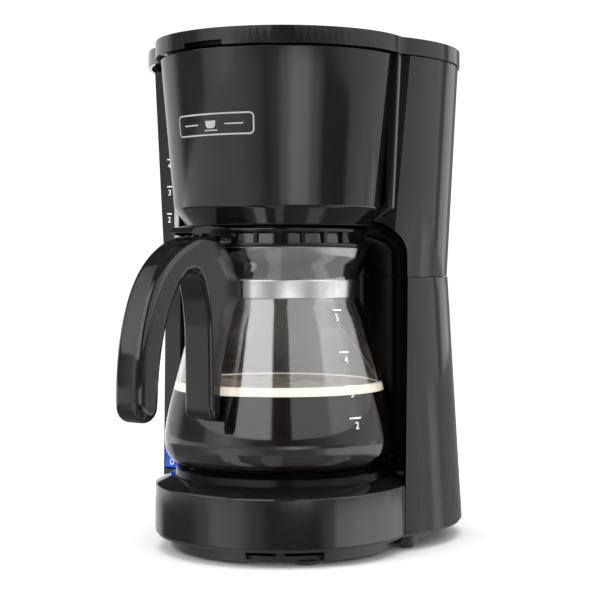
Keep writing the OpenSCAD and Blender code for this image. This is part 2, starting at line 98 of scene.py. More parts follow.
# %% Shader helpers
def add(tree, kind, **settings):
    """A shader node with its settings; names that are sockets set the socket."""
    node = tree.nodes.new(kind)
    for key, value in settings.items():
        if key in node.inputs:
            node.inputs[key].default_value = value
        else:
            setattr(node, key, value)
    return node


def maths(tree, operation, a, b=None, c=None, clamp=False):
    """A Math node; a, b and c are sockets or numbers."""
    node = tree.nodes.new("ShaderNodeMath")
    node.operation = operation
    node.use_clamp = clamp
    for slot, value in enumerate((a, b, c)):
        if value is None:
            continue
        if isinstance(value, (int, float)):
            node.inputs[slot].default_value = value
        else:
            tree.links.new(value, node.inputs[slot])
    return node.outputs[0]


def ramp(tree, factor, stops, mode="EASE"):
    """A ColorRamp through (position, colour or grey) stops."""
    node = tree.nodes.new("ShaderNodeValToRGB")
    node.color_ramp.interpolation = mode
    marks = node.color_ramp.elements
    while len(marks) > 1:
        marks.remove(marks[-1])
    for i, (position, colour) in enumerate(stops):
        mark = marks[0] if i == 0 else marks.new(position)
        mark.position = position
        if isinstance(colour, (int, float)):
            colour = (colour, colour, colour)
        mark.color = (*colour, 1)
    tree.links.new(factor, node.inputs[0])
    return node.outputs[0]


def blend_colours(tree, factor, a, b):
    """A Mix node from colour a to colour b; each input is a socket, a number or a colour."""
    node = tree.nodes.new("ShaderNodeMix")
    node.data_type = "RGBA"
    for socket, value in ((node.inputs[0], factor), (node.inputs[6], a), (node.inputs[7], b)):
        if isinstance(value, (int, float)):
            socket.default_value = value
        elif isinstance(value, tuple):
            socket.default_value = (*value, 1)
        else:
            tree.links.new(value, socket)
    return node.outputs[2]


print("shader helpers ready")

# %% [markdown]
# Gloss black plastic shows the room more than itself, so the room is a plain pale studio with
# soft boxes at set bearings. Each band below lists their brightness by bearing, in degrees to the
# right of the camera, for one range of heights: the downward band first, the high one last. An
# image of a studio could be used, but a few numbered stops are easier to place and to change.

# %% Soft boxes by bearing
BRIGHTEST = 4


def bearings(stops):
    """Soft box brightness by bearing in degrees right of the camera's bearing, as ramp stops of 0 to 1."""
    return [((degrees + 180) / 360, value / BRIGHTEST) for degrees, value in stops]


DOWN = bearings([(-180, .3), (-64, .3), (-60, 1.6), (-44, 1.6), (-40, .15), (-20, .15), (-16, .8), (2, .8),
                 (6, .2), (58, .3), (62, .9), (80, .9), (84, .2), (180, .3)])
BASE = bearings([(-180, .9), (-146, .9), (-130, .15), (-92, .2), (-75, .7), (-60, 1.6), (-42, 1.5),
                 (-25, .6), (-8, .15), (30, .12), (44, .8), (52, 2.2), (75, 2.6), (95, 2.2), (120, 1.5),
                 (135, .9), (150, .3), (180, .3)])
CONE = bearings([(-180, 1.5), (-150, 1.2), (-128, 1.6), (-112, 1.1), (-45, 1.0), (-28, .75), (-14, .3),
                 (-6, .5), (2, 1.4), (12, 2.6), (22, 2.5), (32, 1.2), (44, .2), (64, .15), (74, .9),
                 (90, 1.1), (100, .9), (108, 1.3), (120, .5), (150, .3), (180, .3)])
LEVEL = bearings([(-180, .9), (-128, .9), (-112, .2), (-84, .3), (-74, 1.0), (-52, 1.6), (-40, .9),
                  (-20, .22), (16, .12), (40, .35), (70, .9), (96, 1.0), (121, .8), (125, .3), (129, .3),
                  (132, .95), (147, .95), (156, .25), (180, .1)])
HIGH = bearings([(-180, .05), (-122, .05), (-118, .9), (-100, 1.3), (-80, 2.0), (-46, 2.2), (-44, 3.2),
                 (-9, 3.2), (-6, .1), (12, .1), (14, 1.5), (54, 1.5), (56, 2.4), (80, 2.2), (107, 1.3),
                 (126, .85), (139, .6), (151, .4), (160, .28), (164, .05), (180, .05)])
BAND_EDGES = (-20, -8.6, -2.0, 9.2, 50)
BAND_SOFTNESS = (4, .4, .6, .8, 12)
ROOF_LEVEL = 0.055
print("bands upwards", len(BAND_EDGES) + 1)

# %% [markdown]
# The world shader turns a reflection's direction into a bearing and a height, and reads the bands
# there. White goes to the eye and to soft light, and the soft boxes to reflections only, so that
# the bands on the black shell stay dark between them.

# %% Studio light
BOX_STRENGTH, SOFT_STRENGTH = 4.0, 1.12
scene = bpy.context.scene
scene.view_settings.view_transform = "Standard"
world = bpy.data.worlds.new("studio")
scene.world = world
world.use_nodes = True
wt = world.node_tree
wt.nodes.clear()
direction = add(wt, "ShaderNodeTexCoord").outputs["Generated"]
parts = add(wt, "ShaderNodeSeparateXYZ")
wt.links.new(direction, parts.inputs[0])
minus_y = maths(wt, "MULTIPLY", parts.outputs["Y"], -1.0)
azimuth = maths(wt, "ARCTAN2", parts.outputs["X"], minus_y)
bearing = maths(wt, "SUBTRACT", azimuth, VIEW_TURN)
wrapped = maths(wt, "WRAP", bearing, math.pi, -math.pi)
turn = maths(wt, "MULTIPLY_ADD", wrapped, 1 / (2 * math.pi), 0.5)
rise = maths(wt, "ARCSINE", parts.outputs["Z"])
boxes = ramp(wt, turn, DOWN)
bands_upwards = (BASE, CONE, LEVEL, HIGH, [(0, ROOF_LEVEL)])
for stops, edge, softness in zip(bands_upwards, BAND_EDGES, BAND_SOFTNESS):
    above = maths(wt, "MULTIPLY_ADD", rise, 1 / math.radians(softness), 0.5 - edge / softness, clamp=True)
    boxes = blend_colours(wt, above, boxes, ramp(wt, turn, stops))
glossy_light = add(wt, "ShaderNodeBackground", Strength=BOX_STRENGTH)
wt.links.new(boxes, glossy_light.inputs[0])
soft_light = add(wt, "ShaderNodeBackground", Color=(1, 1, 1, 1), Strength=SOFT_STRENGTH)
path = add(wt, "ShaderNodeLightPath")
mix = add(wt, "ShaderNodeMixShader")
wt.links.new(path.outputs["Is Glossy Ray"], mix.inputs[0])
wt.links.new(soft_light.outputs[0], mix.inputs[1])
wt.links.new(glossy_light.outputs[0], mix.inputs[2])
wt.links.new(mix.outputs[0], add(wt, "ShaderNodeOutputWorld").inputs[0])
print("studio nodes", len(wt.nodes))

# %% [markdown]
# The worktop is one wide matt sheet. It only has to catch the soft shadow under the machine, so it
# stays out of reflections.

# %% Worktop
FLOOR_HALF = 6.0
floor_bm = bmesh.new()
bmesh.ops.create_grid(floor_bm, x_segments=2, y_segments=2, size=FLOOR_HALF)
floor_mesh = bpy.data.meshes.new("floor")
floor_bm.to_mesh(floor_mesh)
floor_bm.free()
floor = bpy.data.objects.new("floor", floor_mesh)
scene.collection.objects.link(floor)
floor_paint = bpy.data.materials.new("floor_paint")
floor_paint.use_nodes = True
floor_shader = floor_paint.node_tree.nodes["Principled BSDF"]
floor_shader.inputs["Base Color"].default_value = (0.93, 0.93, 0.93, 1)
floor_shader.inputs["Roughness"].default_value = 0.9
floor_shader.inputs["Specular IOR Level"].default_value = 0.0
floor_mesh.materials.append(floor_paint)
floor.visible_glossy = False
print("worktop half width", FLOOR_HALF)

# %% [markdown]
# Two area lights add the shading that the even studio lacks: one from above, one from the front
# left. Bigger lights give softer shadows, which suits a small object on a white worktop.

# %% Lamps
def soft_box(name, place, target, size, power):
    """An area light that adds soft light and shadow, unseen in reflections."""
    data = bpy.data.lights.new(name, "AREA")
    data.shape = "RECTANGLE"
    data.size, data.size_y = size
    data.energy = power
    lamp = bpy.data.objects.new(name, data)
    scene.collection.objects.link(lamp)
    lamp.location = place
    lamp.rotation_euler = (Vector(target) - Vector(place)).to_track_quat("-Z", "Y").to_euler()
    lamp.visible_glossy = False
    return lamp


LAMPS = {"overhead": ((0.1, -0.1, 1.3), (0, 0, 0), (1.2, 1.2), 9.0),
         "key_front": ((-0.5, -1.2, 0.9), (0, 0, 0.12), (0.8, 0.8), 6.0)}
for name, (place, target, size, power) in LAMPS.items():
    soft_box(name, place, target, size, power)
print("lamps", list(LAMPS))

# %% [markdown]
# Finishes. Each one is a Principled shader with the small unevenness of the real surface: moulded
# plastic has a faint waviness in its gloss, a non-stick plate is finely pitted, and so on. A flat
# colour would look like a drawing; two noise patterns are enough to make it look made.

# %% Finish helper
SHADE_SPREAD, DARKEST_STEP = 0.12, 0.001
WAVE_DEPTH, GRAIN_DEPTH = 0.0002, 0.00005


def finish(name, colour, rough, metallic=0.0, wave=0.0, wave_scale=60.0, grain=0.0, grain_scale=900.0,
           rough_spread=0.03, **sockets):
    """A procedural finish: colour and gloss vary a little, bump gives the mould's waviness and grain."""
    material = bpy.data.materials.new(name)
    material.use_nodes = True
    tree = material.node_tree
    shader = tree.nodes["Principled BSDF"]
    shader.inputs["Metallic"].default_value = metallic
    for key, value in sockets.items():
        shader.inputs[key.replace("_", " ")].default_value = value
    place = add(tree, "ShaderNodeTexCoord").outputs["Object"]
    cloud = add(tree, "ShaderNodeTexNoise", Scale=wave_scale, Detail=2.0)
    tree.links.new(place, cloud.inputs["Vector"])
    fine = add(tree, "ShaderNodeTexNoise", Scale=grain_scale, Detail=3.0)
    tree.links.new(place, fine.inputs["Vector"])
    low = [max(0.0, c * (1 - SHADE_SPREAD) - DARKEST_STEP) for c in colour]
    high = [c * (1 + SHADE_SPREAD) for c in colour]
    shade = ramp(tree, cloud.outputs[0], [(0.3, tuple(low)), (0.7, tuple(high))])
    tree.links.new(shade, shader.inputs["Base Color"])
    gloss = ramp(tree, fine.outputs[0], [(0.25, max(0.0, rough - rough_spread)), (0.75, rough + rough_spread)])
    tree.links.new(gloss, shader.inputs["Roughness"])
    if wave or grain:
        bump_wave = add(tree, "ShaderNodeBump", Strength=wave, Distance=WAVE_DEPTH)
        tree.links.new(cloud.outputs[0], bump_wave.inputs["Height"])
        bump = add(tree, "ShaderNodeBump", Strength=grain, Distance=GRAIN_DEPTH)
        tree.links.new(fine.outputs[0], bump.inputs["Height"])
        tree.links.new(bump_wave.outputs[0], bump.inputs["Normal"])
        tree.links.new(bump.outputs[0], shader.inputs["Normal"])
    return material


print("finish helper ready")

# %% [markdown]
# One finish for each kind of surface on the machine: the plastics first, then the metals, then the
# softer things. Black parts differ mostly in roughness, so that is the number to compare.

# %% Finishes
gloss_black = finish("gloss_black", (0.006, 0.006, 0.0065), 0.07, wave=0.02, wave_scale=22, grain=0.02,
                     rough_spread=0.015)
satin_black = finish("satin_black", (0.015, 0.015, 0.016), 0.38, grain=0.25, grain_scale=1600)
rubber = finish("rubber", (0.02, 0.02, 0.02), 0.7, grain=0.4, grain_scale=2200, rough_spread=0.08)
gold = finish("gold_mesh", (0.72, 0.5, 0.22), 0.32, metallic=1.0, grain=0.9, grain_scale=2600, rough_spread=0.08)
steel = finish("steel", (0.62, 0.62, 0.63), 0.24, metallic=1.0, grain=0.2, grain_scale=1500, rough_spread=0.08)
band_steel = finish("band_steel", (0.8, 0.8, 0.8), 0.22, metallic=1.0, grain=0.01, grain_scale=200,
                    rough_spread=0.02)
non_stick = finish("non_stick", (0.012, 0.012, 0.012), 0.42, grain=0.4, grain_scale=1800, rough_spread=0.08)
cast_alu = finish("cast_aluminium", (0.6, 0.6, 0.61), 0.42, metallic=1.0, wave=0.1, grain=0.6,
                  grain_scale=1200, rough_spread=0.1)
thermo_clay = finish("thermostat_body", (0.6, 0.5, 0.36), 0.7, grain=0.4)
silicone = finish("silicone", (0.72, 0.72, 0.69), 0.4, wave=0.1, grain=0.1, Subsurface_Weight=0.15)
white_plastic = finish("white_plastic", (0.75, 0.75, 0.73), 0.4, grain=0.15)
lead_red = finish("lead_insulation", (0.4, 0.03, 0.025), 0.4, grain=0.1)
blue_lit = finish("blue_switch", (0.004, 0.05, 0.42), 0.18, grain=0.03, Emission_Color=(0.02, 0.12, 0.9, 1),
                  Emission_Strength=0.22)
clear_plastic = finish("clear_plastic", (0.62, 0.64, 0.65), 0.16, wave=0.05, Transmission_Weight=0.3)
# The white print has a painted glow: its emission makes the marks shine brighter than the lamps light them.
print_white_painted_glow = finish("print_white_painted_glow", (0.85, 0.85, 0.84), 0.5, grain=0.1, Emission_Color=(1, 1, 1, 1),
                     Emission_Strength=0.35)
badge_grey = finish("badge_print", (0.36, 0.36, 0.355), 0.34, grain=0.1)

ring_black = finish("ring_black", (0.004, 0.004, 0.004), 0.2, grain=0.05, Specular_IOR_Level=0.12)
screw_black = finish("screw_black", (0.02, 0.02, 0.02), 0.4, metallic=0.6, grain=0.2)
print("finishes", len(bpy.data.materials))

# %% [markdown]
# Every CAD node names the slot that it belongs to, and each slot gets its finish here. Pieces made
# later replace some of these nodes. The screws and the plate's collar share a slot with shinier or
# duller parts, so they are named one by one.

# %% Finishes on the CAD nodes
BY_SLOT = {"gloss_black": gloss_black, "matte_black": satin_black, "rubber_black": rubber,
           "clear_plastic": clear_plastic, "gold_mesh": gold, "steel": steel, "brushed_band": band_steel,
           "plate_coating": non_stick, "cast_aluminium": cast_alu, "thermostat_body": thermo_clay,
           "silicone_hose": silicone, "white_plastic": white_plastic, "blue_switch": blue_lit,
           "lead_insulation": lead_red}
OWN_FINISH = {"base_screws": screw_black, "warming_ring": ring_black}
SLOTS = {part["node"]: part["material_slot"] for part in frame["record"]["subparts"]}
for node, slot in SLOTS.items():
    material = OWN_FINISH.get(node) or BY_SLOT.get(slot)
    if material:
        mesh = nodes[node].data
        mesh.materials.clear()
        mesh.materials.append(material)
print("nodes with a finish", sum(1 for node in SLOTS if nodes[node].data.materials))

# %% [markdown]
# Glass is clear and nearly colourless. Where the carafe is empty, both of its faces reflect, so
# that part gets a stronger coat; where coffee stands behind it, only the outer face shows.

# %% Glass
GLASS_IOR, EMPTY_COAT_IOR = 1.47, 1.62
glass = bpy.data.materials.new("clear_glass")
glass.use_nodes = True
glass_shader = glass.node_tree.nodes["Principled BSDF"]
glass_shader.inputs["Base Color"].default_value = (0.97, 0.975, 0.98, 1)
glass_shader.inputs["Transmission Weight"].default_value = 1.0
glass_shader.inputs["IOR"].default_value = GLASS_IOR
smear = add(glass.node_tree, "ShaderNodeTexNoise", Scale=35.0, Detail=3.0)
glass.node_tree.links.new(add(glass.node_tree, "ShaderNodeTexCoord").outputs["Object"], smear.inputs["Vector"])
smear_gloss = ramp(glass.node_tree, smear.outputs[0], [(0.5, 0.0), (0.9, 0.012)])
glass.node_tree.links.new(smear_gloss, glass_shader.inputs["Roughness"])
glass_empty = glass.copy()
glass_empty.name = "empty_glass"
empty_shader = glass_empty.node_tree.nodes["Principled BSDF"]
empty_shader.inputs["Coat Weight"].default_value = 1.0
empty_shader.inputs["Coat IOR"].default_value = EMPTY_COAT_IOR
empty_shader.inputs["Coat Roughness"].default_value = 0.0
print("glass", glass.name, glass_empty.name)

# %% [markdown]
# The coffee reuses the finish helper with a very dark brown. The foam's top is swirled in three
# browns by one distorted noise, as bubbles drift into streaks; a picture of foam would stretch.

# %% Coffee and foam finishes
coffee_dark = finish("coffee", (0.010, 0.005, 0.0065), 0.12, rough_spread=0.03, wave_scale=25, Specular_IOR_Level=0.2)
# The foam collar's finish has a painted glow: its cream emission brightens it beyond what the lamps give.
foam_cream_painted_glow = finish("foam", (0.93, 0.84, 0.7), 0.55, wave=0.4, wave_scale=260, grain=0.8, grain_scale=1400,
                    Subsurface_Weight=0.3, Emission_Color=(1.0, 0.9, 0.76, 1), Emission_Strength=0.45)
foam_top = finish("foam_top", (0.34, 0.22, 0.15), 0.35, wave=0.3, wave_scale=140, grain=0.5, grain_scale=1100)
tree = foam_top.node_tree
swirl = add(tree, "ShaderNodeTexNoise", Scale=75.0, Detail=5.0, Distortion=1.2)
tree.links.new(add(tree, "ShaderNodeTexCoord").outputs["Object"], swirl.inputs["Vector"])
FOAM_BROWNS = [(0.3, (0.3, 0.19, 0.13)), (0.5, (0.6, 0.46, 0.35)), (0.68, (0.9, 0.78, 0.64))]
tree.links.new(ramp(tree, swirl.outputs[0], FOAM_BROWNS), tree.nodes["Principled BSDF"].inputs["Base Color"])
print("finishes in all", len(bpy.data.materials))

# %% [markdown]
# Most of this machine is turned or swept: a profile line, rounded at its corners, is spun round an
# upright axis. One helper does it, with a full turn closed on itself and a part turn capped.

# %% Turned shapes
WELD = 2e-6


def outline(points, rounds=None, closed=False, segments=5):
    """A line of (radius, height) points in mm in the XZ plane; rounds gives a corner's cut-back in mm."""
    bm = bmesh.new()
    verts = [bm.verts.new((r * MM, 0, z * MM)) for r, z in points]
    for a, b in zip(verts, verts[1:] + verts[:1] if closed else verts[1:]):
        bm.edges.new((a, b))
    for corner, size in sorted((rounds or {}).items()):
        bmesh.ops.bevel(bm, geom=[verts[corner]], offset=size * MM, affect="VERTICES", segments=segments,
                        profile=0.5, material=-1)
    return bm


def turned(bm, axis, start=0.0, sweep=360.0, steps=180, cap=False):
    """Spins a profile about the upright axis. Bearings are degrees from the front towards the right."""
    first = bm.edges[:]
    quarter_back = Matrix.Rotation(math.radians(start - 90), 3, "Z")
    bmesh.ops.rotate(bm, verts=bm.verts, matrix=quarter_back, cent=(0, 0, 0))
    if cap:
        bmesh.ops.contextual_create(bm, geom=first)
    bmesh.ops.spin(bm, geom=bm.faces[:] + bm.edges[:] + bm.verts[:], cent=(0, 0, 0), axis=(0, 0, 1),
                   angle=math.radians(sweep), steps=steps, use_merge=not cap and sweep >= 360, use_duplicate=False)
    bmesh.ops.remove_doubles(bm, verts=bm.verts, dist=WELD)
    bmesh.ops.recalc_face_normals(bm, faces=bm.faces)
    bmesh.ops.translate(bm, verts=bm.verts, vec=axis)
    return bm


print("turned shapes: outline, then turned")

# %% [markdown]
# Every mesh becomes an object in the same way. Solidify gives a blown or printed skin its wall,
# Bevel rounds the rims, and Weighted Normal keeps the big faces flat to the eye, so that the soft
# boxes reflect in clean bands. A film of ink is offset plainly: an even wall would throw the corner
# of a sliver far away. The last lines tell the frame what the piece rides on and replaces.

# %% Finished pieces
CREASE, EDGE_STEPS = 35, 3
FILM = 0.5


def piece(name, bm, material, body, replaced=(), crease=CREASE, bevel=None, wall=None):
    """Turns a bmesh into an object of the model: smooth with creases, finished, riding on its body."""
    mesh = bpy.data.meshes.new(name)
    bm.to_mesh(mesh)
    bm.free()
    mesh.materials.append(material)
    for polygon in mesh.polygons:
        polygon.use_smooth = True
    mesh.set_sharp_from_angle(angle=math.radians(crease))
    ob = bpy.data.objects.new(name, mesh)
    scene.collection.objects.link(ob)
    if wall:
        solid = ob.modifiers.new("wall", "SOLIDIFY")
        solid.thickness = wall * MM
        solid.offset = -1.0
        solid.use_even_offset = wall > FILM
    if bevel:
        edge = ob.modifiers.new("edge", "BEVEL")
        edge.width = bevel * MM
        edge.segments = EDGE_STEPS
        edge.limit_method = "ANGLE"
        edge.angle_limit = math.radians(crease)
        edge.miter_outer = "MITER_ARC"
    even = ob.modifiers.new("even", "WEIGHTED_NORMAL")
    even.keep_sharp = True
    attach(ob, body)
    if replaced:
        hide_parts(*replaced)
    print(name, len(mesh.vertices), "vertices,", len(mesh.polygons), "faces")
    return ob


def cad_copy(node, merge=1e-6, flat=0.6):
    """The CAD node's mesh, welded, with its flat areas joined up, to be given rounded edges."""
    bm = bmesh.new()
    bm.from_mesh(nodes[node].data)
    bmesh.ops.remove_doubles(bm, verts=bm.verts, dist=merge)
    if flat:
        bmesh.ops.dissolve_limit(bm, angle_limit=math.radians(flat), verts=bm.verts, edges=bm.edges,
                                 use_dissolve_boundaries=False)
    return bm


print("piece helpers ready")

# %% [markdown]
# The base is a round drum with a sloped shoulder, one moulding with a lip for the warming plate.
# A cylinder with edited loops would do; spinning one line keeps every radius as a plain number.

# %% Base drum
drum = outline([(67.6, 9.8), (70, 9.8), (70, 35.9), (61, 40.3), (53, 40.3), (53, 38), (60, 38), (67.6, 34.7)],
               {1: 0.5, 2: 1.0, 3: 0.8}, closed=True)
piece("base_drum", turned(drum, cone_axis), gloss_black, "machine", ["base_shell"], crease=50)

# %% [markdown]
# The column, the upper housing and the lid come from the CAD shapes; welded copies get rounded
# edges, because a real moulding catches a thin line of light along every edge. Modelling them anew
# would risk a gap between two parts that the CAD already fits together.

# %% Column, upper housing, lid
EDGES = {"lower_column": ("column_shell", 0.7, "machine"), "upper_housing": ("tank_housing", 0.7, "machine"),
         "lid_cover": ("lid_shell", 0.8, "lid"), "side_trim_right": ("cone_trim_right", 0.9, "machine"),
         "side_trim_left": ("cone_trim_left", 0.9, "machine"), "base_plate": ("plinth", 0.5, "machine"),
         "lid_lever": ("lever", 0.9, "carafe"), "water_window": ("window_strip", 0.3, "machine")}
for node, (name, radius, rides_on) in EDGES.items():
    piece(name, cad_copy(node), nodes[node].data.materials[0], rides_on, [node], bevel=radius)

# %% [markdown]
# The brew cone's front shell sweeps most of the way round and tapers to the funnel. Its ends are
# rounded, which shows as a bright strip at the right. A part turn of a closed line gives the shell
# and both of its ends at once, where a full turn would have to be cut open afterwards.

# %% Brew cone
shell = outline([(52.4, 176.5), (59.6, 185.5), (67, 268.2), (64.6, 268.2), (57.2, 186.6), (51.4, 178.6)],
                {0: 0.6, 1: 0.9, 2: 0.8}, closed=True)
CONE_START, CONE_SWEEP = -83, 182.4
cone = turned(shell, cone_axis, start=CONE_START, sweep=CONE_SWEEP, steps=150, cap=True)
piece("cone_shell", cone, gloss_black, "machine", ["brew_cone"], crease=40, bevel=1.1)

# %% [markdown]
# The carafe is blown glass of even thickness, so its outer line is spun and given a wall inwards.
# Two closed lines could be drawn instead, but the wall would then vary wherever they disagree.

# %% Carafe glass
GLASS_LINE = [(0, 45), (49, 45), (60.2, 48.2), (63.4, 58.6), (61.4, 73), (57, 91), (52.4, 109), (48.4, 126),
              (44.2, 137), (44, 147.5), (46, 152.5), (49.2, 158), (50.6, 164.6)]
GLASS_ROUNDS = {1: 4.0, 2: 5.4, 3: 5.2, 4: 7.0, 5: 8.0, 6: 8.0, 7: 5.5, 8: 3.5, 9: 2.0, 10: 2.2, 11: 2.5}
GLASS_WALL, GLASS_RIM = 1.9, 0.7
FULL_TO = 90.5
glass_bm = outline(GLASS_LINE, GLASS_ROUNDS, segments=6)
carafe_body = piece("carafe_body", turned(glass_bm, carafe_axis, steps=160), glass, "carafe",
                    ["carafe_glass"], crease=60, wall=GLASS_WALL, bevel=GLASS_RIM)
carafe_body.data.materials.append(glass_empty)
for polygon in carafe_body.data.polygons:
    polygon.material_index = int(polygon.center.z > FULL_TO * MM)

# %% [markdown]
# The coffee fills the carafe to about half. It overlaps the inner face of the glass a little, as
# liquids in glass should, or a thin line of air would shine between them. The foam is a skin on
# top, and a pale collar where it clings to the glass; the collar's brightness is partly a painted glow.

# %% Coffee and foam
COFFEE_TOP = 87.5
COFFEE_LINE = [(0, 46.0), (49, 46.0), (59.4, 49.1), (62.4, 58.7), (60.4, 72.9), (56.9, COFFEE_TOP), (0, COFFEE_TOP)]
coffee_bm = outline(COFFEE_LINE, {1: 4.0, 2: 5.0, 3: 5.0, 4: 6.5, 5: 0.2})
piece("coffee", turned(coffee_bm, carafe_axis, steps=128), coffee_dark, "carafe", crease=50)
FOAM_LINE = [(0, COFFEE_TOP + 0.05), (54.4, COFFEE_TOP + 0.05), (54.4, 91.0), (50, 89.9), (42, 89.3), (0, 89.2)]
foam_bm = outline(FOAM_LINE, {3: 2})
piece("foam_skin", turned(foam_bm, carafe_axis, steps=128), foam_top, "carafe", crease=60)
COLLAR_LINE = [(54.5, COFFEE_TOP - 0.5), (57.1, COFFEE_TOP - 0.5), (55.9, 91.6), (54.9, 91.6)]
collar_bm = outline(COLLAR_LINE, {2: 0.4, 3: 0.4}, closed=True)
piece("foam_collar", turned(collar_bm, carafe_axis, steps=128), foam_cream_painted_glow, "carafe", crease=60)

# %% [markdown]
# A steel band grips the neck. Its edges are rolled, and it carries the handle. It is the one bright
# ring on the object, so it is spun with many steps to keep its reflections smooth.

# %% Neck band
BAND_LINE = [(44.1, 137.6), (44.9, 137.6), (44.9, 147.2), (44.1, 147.2)]
band = outline(BAND_LINE, {1: 0.35, 2: 0.35}, closed=True, segments=4)
piece("neck_band", turned(band, carafe_axis, steps=160), band_steel, "carafe", ["carafe_band"],
      crease=60)

# %% [markdown]
# The carafe's lid is a shallow cap: a rim disc on the glass, a ribbed waist, and a top disc with a
# hole for the coffee. The cap is spun, and the ribs are small blocks set round its waist by a loop.

# %% Carafe lid
CAP_LINE = [(6.4, 174.8), (49, 174.8), (49, 172.7), (46.4, 172.2), (47, 166.9), (50.2, 166.8), (50.2, 164.8),
            (46, 164.8), (45.4, 162.7), (43.5, 162.7), (43.5, 171.4), (6.4, 171.4)]
RIBS, RIB_SIZE, RIB_PLACE = 24, (4.6, 2.0, 6.4), (46.4, 0, 169.8)
cap_outline = outline(CAP_LINE, {1: 0.8, 2: 0.5, 3: 0.5, 5: 0.7, 6: 0.4}, closed=True, segments=4)
cap_bm = turned(cap_outline, carafe_axis, steps=144)
for k in range(RIBS):
    made = bmesh.ops.create_cube(cap_bm, size=1.0)["verts"]
    bmesh.ops.scale(cap_bm, vec=Vector(RIB_SIZE) * MM, verts=made)
    bmesh.ops.translate(cap_bm, vec=Vector(RIB_PLACE) * MM, verts=made)
    rib_turn = Matrix.Rotation(math.radians(360 / RIBS * (k + 0.5)), 3, "Z")
    bmesh.ops.rotate(cap_bm, verts=made, cent=(0, 0, 0), matrix=rib_turn)
    bmesh.ops.translate(cap_bm, vec=carafe_axis, verts=made)
piece("carafe_cap", cap_bm, gloss_black, "carafe", ["carafe_lid"], crease=40)

# %% [markdown]
# The handle leaves the band, arches over and comes down as a free grip, with a second leg along the
# glass. Its side view is one closed line. The line is first smoothed by cutting its corners, as a
# subdivision does, so that few points draw a long curve.

# %% Handle line
HANDLE_LINE = [(45, 138), (45, 146.8), (50, 149.5), (53, 158), (57, 164.5), (63, 168.6), (72, 170.2),
               (82, 169.4), (92, 165.6), (101.6, 159), (109.6, 150), (115.8, 138.5), (120.2, 125),
               (123, 111), (124.2, 97), (124.2, 85), (123, 81.1), (119.9, 78.2), (116, 77.2), (112.1, 78.2),
               (109, 81.1), (107.8, 85), (107.4, 94), (106, 107), (103.2, 120), (99.2, 131.6), (94.2, 141),
               (89, 147.6), (84, 151.0), (79.4, 151.0), (75.6, 147.4), (73, 141), (71.2, 132), (70.0, 120),
               (69.4, 84), (69.4, 79), (68.2, 76.1), (65.3, 74.9), (62.4, 76.1), (61.2, 79), (61.2, 90),
               (58.6, 106), (54, 122), (50.6, 133)]


def softened(points, rounds=2):
    """Cuts every corner of a closed line at a quarter of its sides, which turns it into a smooth curve."""
    for _ in range(rounds):
        cut = []
        for (x0, y0), (x1, y1) in zip(points, points[1:] + points[:1]):
            cut += [(x0 * 0.75 + x1 * 0.25, y0 * 0.75 + y1 * 0.25), (x0 * 0.25 + x1 * 0.75, y0 * 0.25 + y1 * 0.75)]
        points = cut
    return points


handle_curve = softened(HANDLE_LINE)
print("handle line", len(HANDLE_LINE), "points, softened to", len(handle_curve))

# %% [markdown]
# The grip is as round as a thumb, and the leg beside the glass is thin, so one bevel can't serve
# both. The line is extruded ring by ring across the width, and each ring is drawn in along a
# quarter circle: by a lot on the grip, by less on the leg, and hardly at all where the band holds it.

# %% Handle
HALF_WIDTH, GRIP_ROUNDING, LEG_ROUNDING = 9.4, 5.4, 2.4
ROOT_REACH, ROOT_BLEND, ROOT_LEAST, LEG_REACH, GRIP_REACH = 51, 8, 0.1, 74, 86
ROLL_STEPS = 7


def roll_radius(reach):
    """How far the rim is rolled in, in mm, at a distance from the carafe's axis."""
    grip_share = min(1, max(0, (reach - LEG_REACH) / (GRIP_REACH - LEG_REACH)))
    root_share = min(1, max(ROOT_LEAST, (reach - ROOT_REACH) / ROOT_BLEND))
    return (LEG_ROUNDING + (GRIP_ROUNDING - LEG_ROUNDING) * grip_share) * root_share


def inward_ways(line):
    """At each point of a closed line, the direction into the shape that it bounds."""
    area = sum(a[0] * b[1] - b[0] * a[1] for a, b in zip(line, line[1:] + line[:1]))
    side = 1 if area > 0 else -1
    ways = []
    for k in range(len(line)):
        before, after = line[k - 1], line[(k + 1) % len(line)]
        along = Vector((after[0] - before[0], after[1] - before[1])).normalized()
        ways.append((-along.y * side, along.x * side))
    return ways


def rounded_slab(line):
    """A slab cut along a closed line, with both rims rolled in."""
    slab = outline(line, closed=True)
    place = slab.verts.layers.int.new("place")
    for k, vert in enumerate(slab.verts):
        vert[place] = k
    ways = inward_ways(line)
    quarter = [math.radians(90 * k / (ROLL_STEPS - 1)) for k in range(ROLL_STEPS)]
    stations = [(-1, angle) for angle in reversed(quarter)] + [(1, angle) for angle in quarter]
    verts, edges = slab.verts[:], slab.edges[:]
    first_ring = edges[:]
    for count, (side, angle) in enumerate(stations):
        if count:
            grown = bmesh.ops.extrude_edge_only(slab, edges=edges)["geom"]
            verts = [item for item in grown if isinstance(item, bmesh.types.BMVert)]
            edges = [item for item in grown if isinstance(item, bmesh.types.BMEdge)]
        for vert in verts:
            (x, z), way = line[vert[place]], ways[vert[place]]
            radius = roll_radius(x)
            drawn_in = radius * (1 - math.cos(angle))
            across = side * (HALF_WIDTH - radius * (1 - math.sin(angle)))
            vert.co = Vector((x + way[0] * drawn_in, across, z + way[1] * drawn_in)) * MM
    bmesh.ops.contextual_create(slab, geom=first_ring)
    bmesh.ops.contextual_create(slab, geom=edges)
    slab.verts.layers.int.remove(place)
    bmesh.ops.recalc_face_normals(slab, faces=slab.faces)
    return slab


grip = rounded_slab(handle_curve)
to_the_front = Matrix.Rotation(math.radians(-90), 3, "Z")
bmesh.ops.rotate(grip, verts=grip.verts, cent=(0, 0, 0), matrix=to_the_front)
bmesh.ops.translate(grip, verts=grip.verts, vec=carafe_axis)
piece("handle", grip, gloss_black, "carafe", ["carafe_handle"], crease=60)

# %% [markdown]
# The rocker switch is a blue key that glows, with a ring printed on its lower half. Its CAD shape is
# already right, so a copy with rounded edges is enough.

